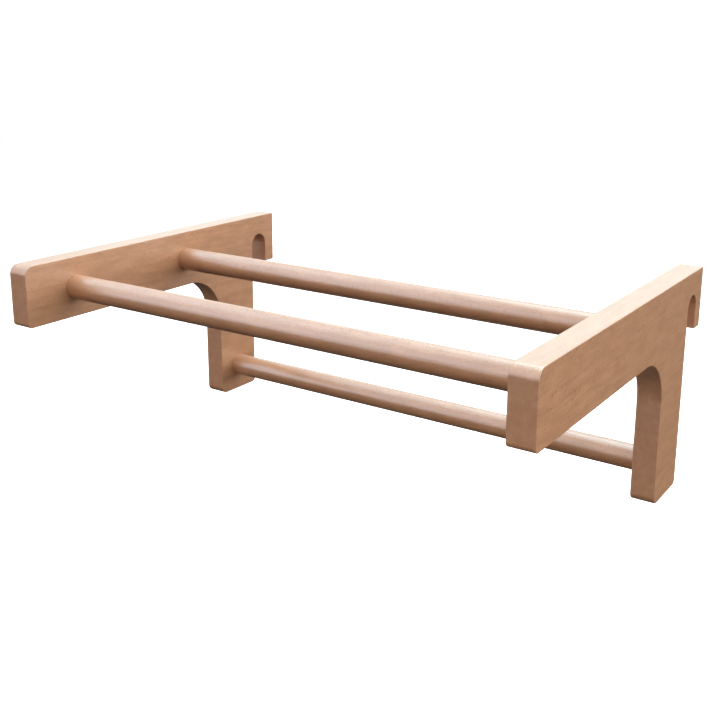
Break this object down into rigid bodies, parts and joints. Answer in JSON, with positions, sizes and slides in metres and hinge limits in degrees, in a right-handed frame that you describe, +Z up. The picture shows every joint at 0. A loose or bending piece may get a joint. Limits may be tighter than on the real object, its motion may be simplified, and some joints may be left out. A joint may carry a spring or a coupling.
{
  "type": "pull-up bar",
  "caption": "Wooden pull-up bar attachment: flat side brackets with rear hooks that hang on a wall bars rung, short legs that rest below, and round grip bars let in between them.",
  "frame": {"origin": "middle of the wall bars' rung that the hooks hang on: on the axis of the hooks' half-round seats, halfway between the brackets", "axes": "+X along the bars, +Y back towards the wall, +Z up; the arms reach out along -Y"},
  "size_m": [0.72, 0.49, 0.273],
  "materials": {
    "bracket_wood": "satin lacquered beech",
    "bar_wood": "satin lacquered beech",
    "screw_steel": "zinc-plated, passivated",
    "plug_wood": "satin lacquered beech, end grain"
  },
  "bodies": {
    "root": {"left_bracket": "bracket_wood", "right_bracket": "bracket_wood", "front_bar": "bar_wood", "middle_bar": "bar_wood", "lower_bar": "bar_wood", "front_left_screw": "screw_steel", "front_right_screw": "screw_steel", "middle_left_screw": "screw_steel", "middle_right_screw": "screw_steel", "lower_left_screw": "screw_steel", "lower_right_screw": "screw_steel", "front_left_plug": "plug_wood", "front_right_plug": "plug_wood", "middle_left_plug": "plug_wood", "middle_right_plug": "plug_wood", "lower_left_plug": "plug_wood", "lower_right_plug": "plug_wood"}
  },
  "joints": []
}
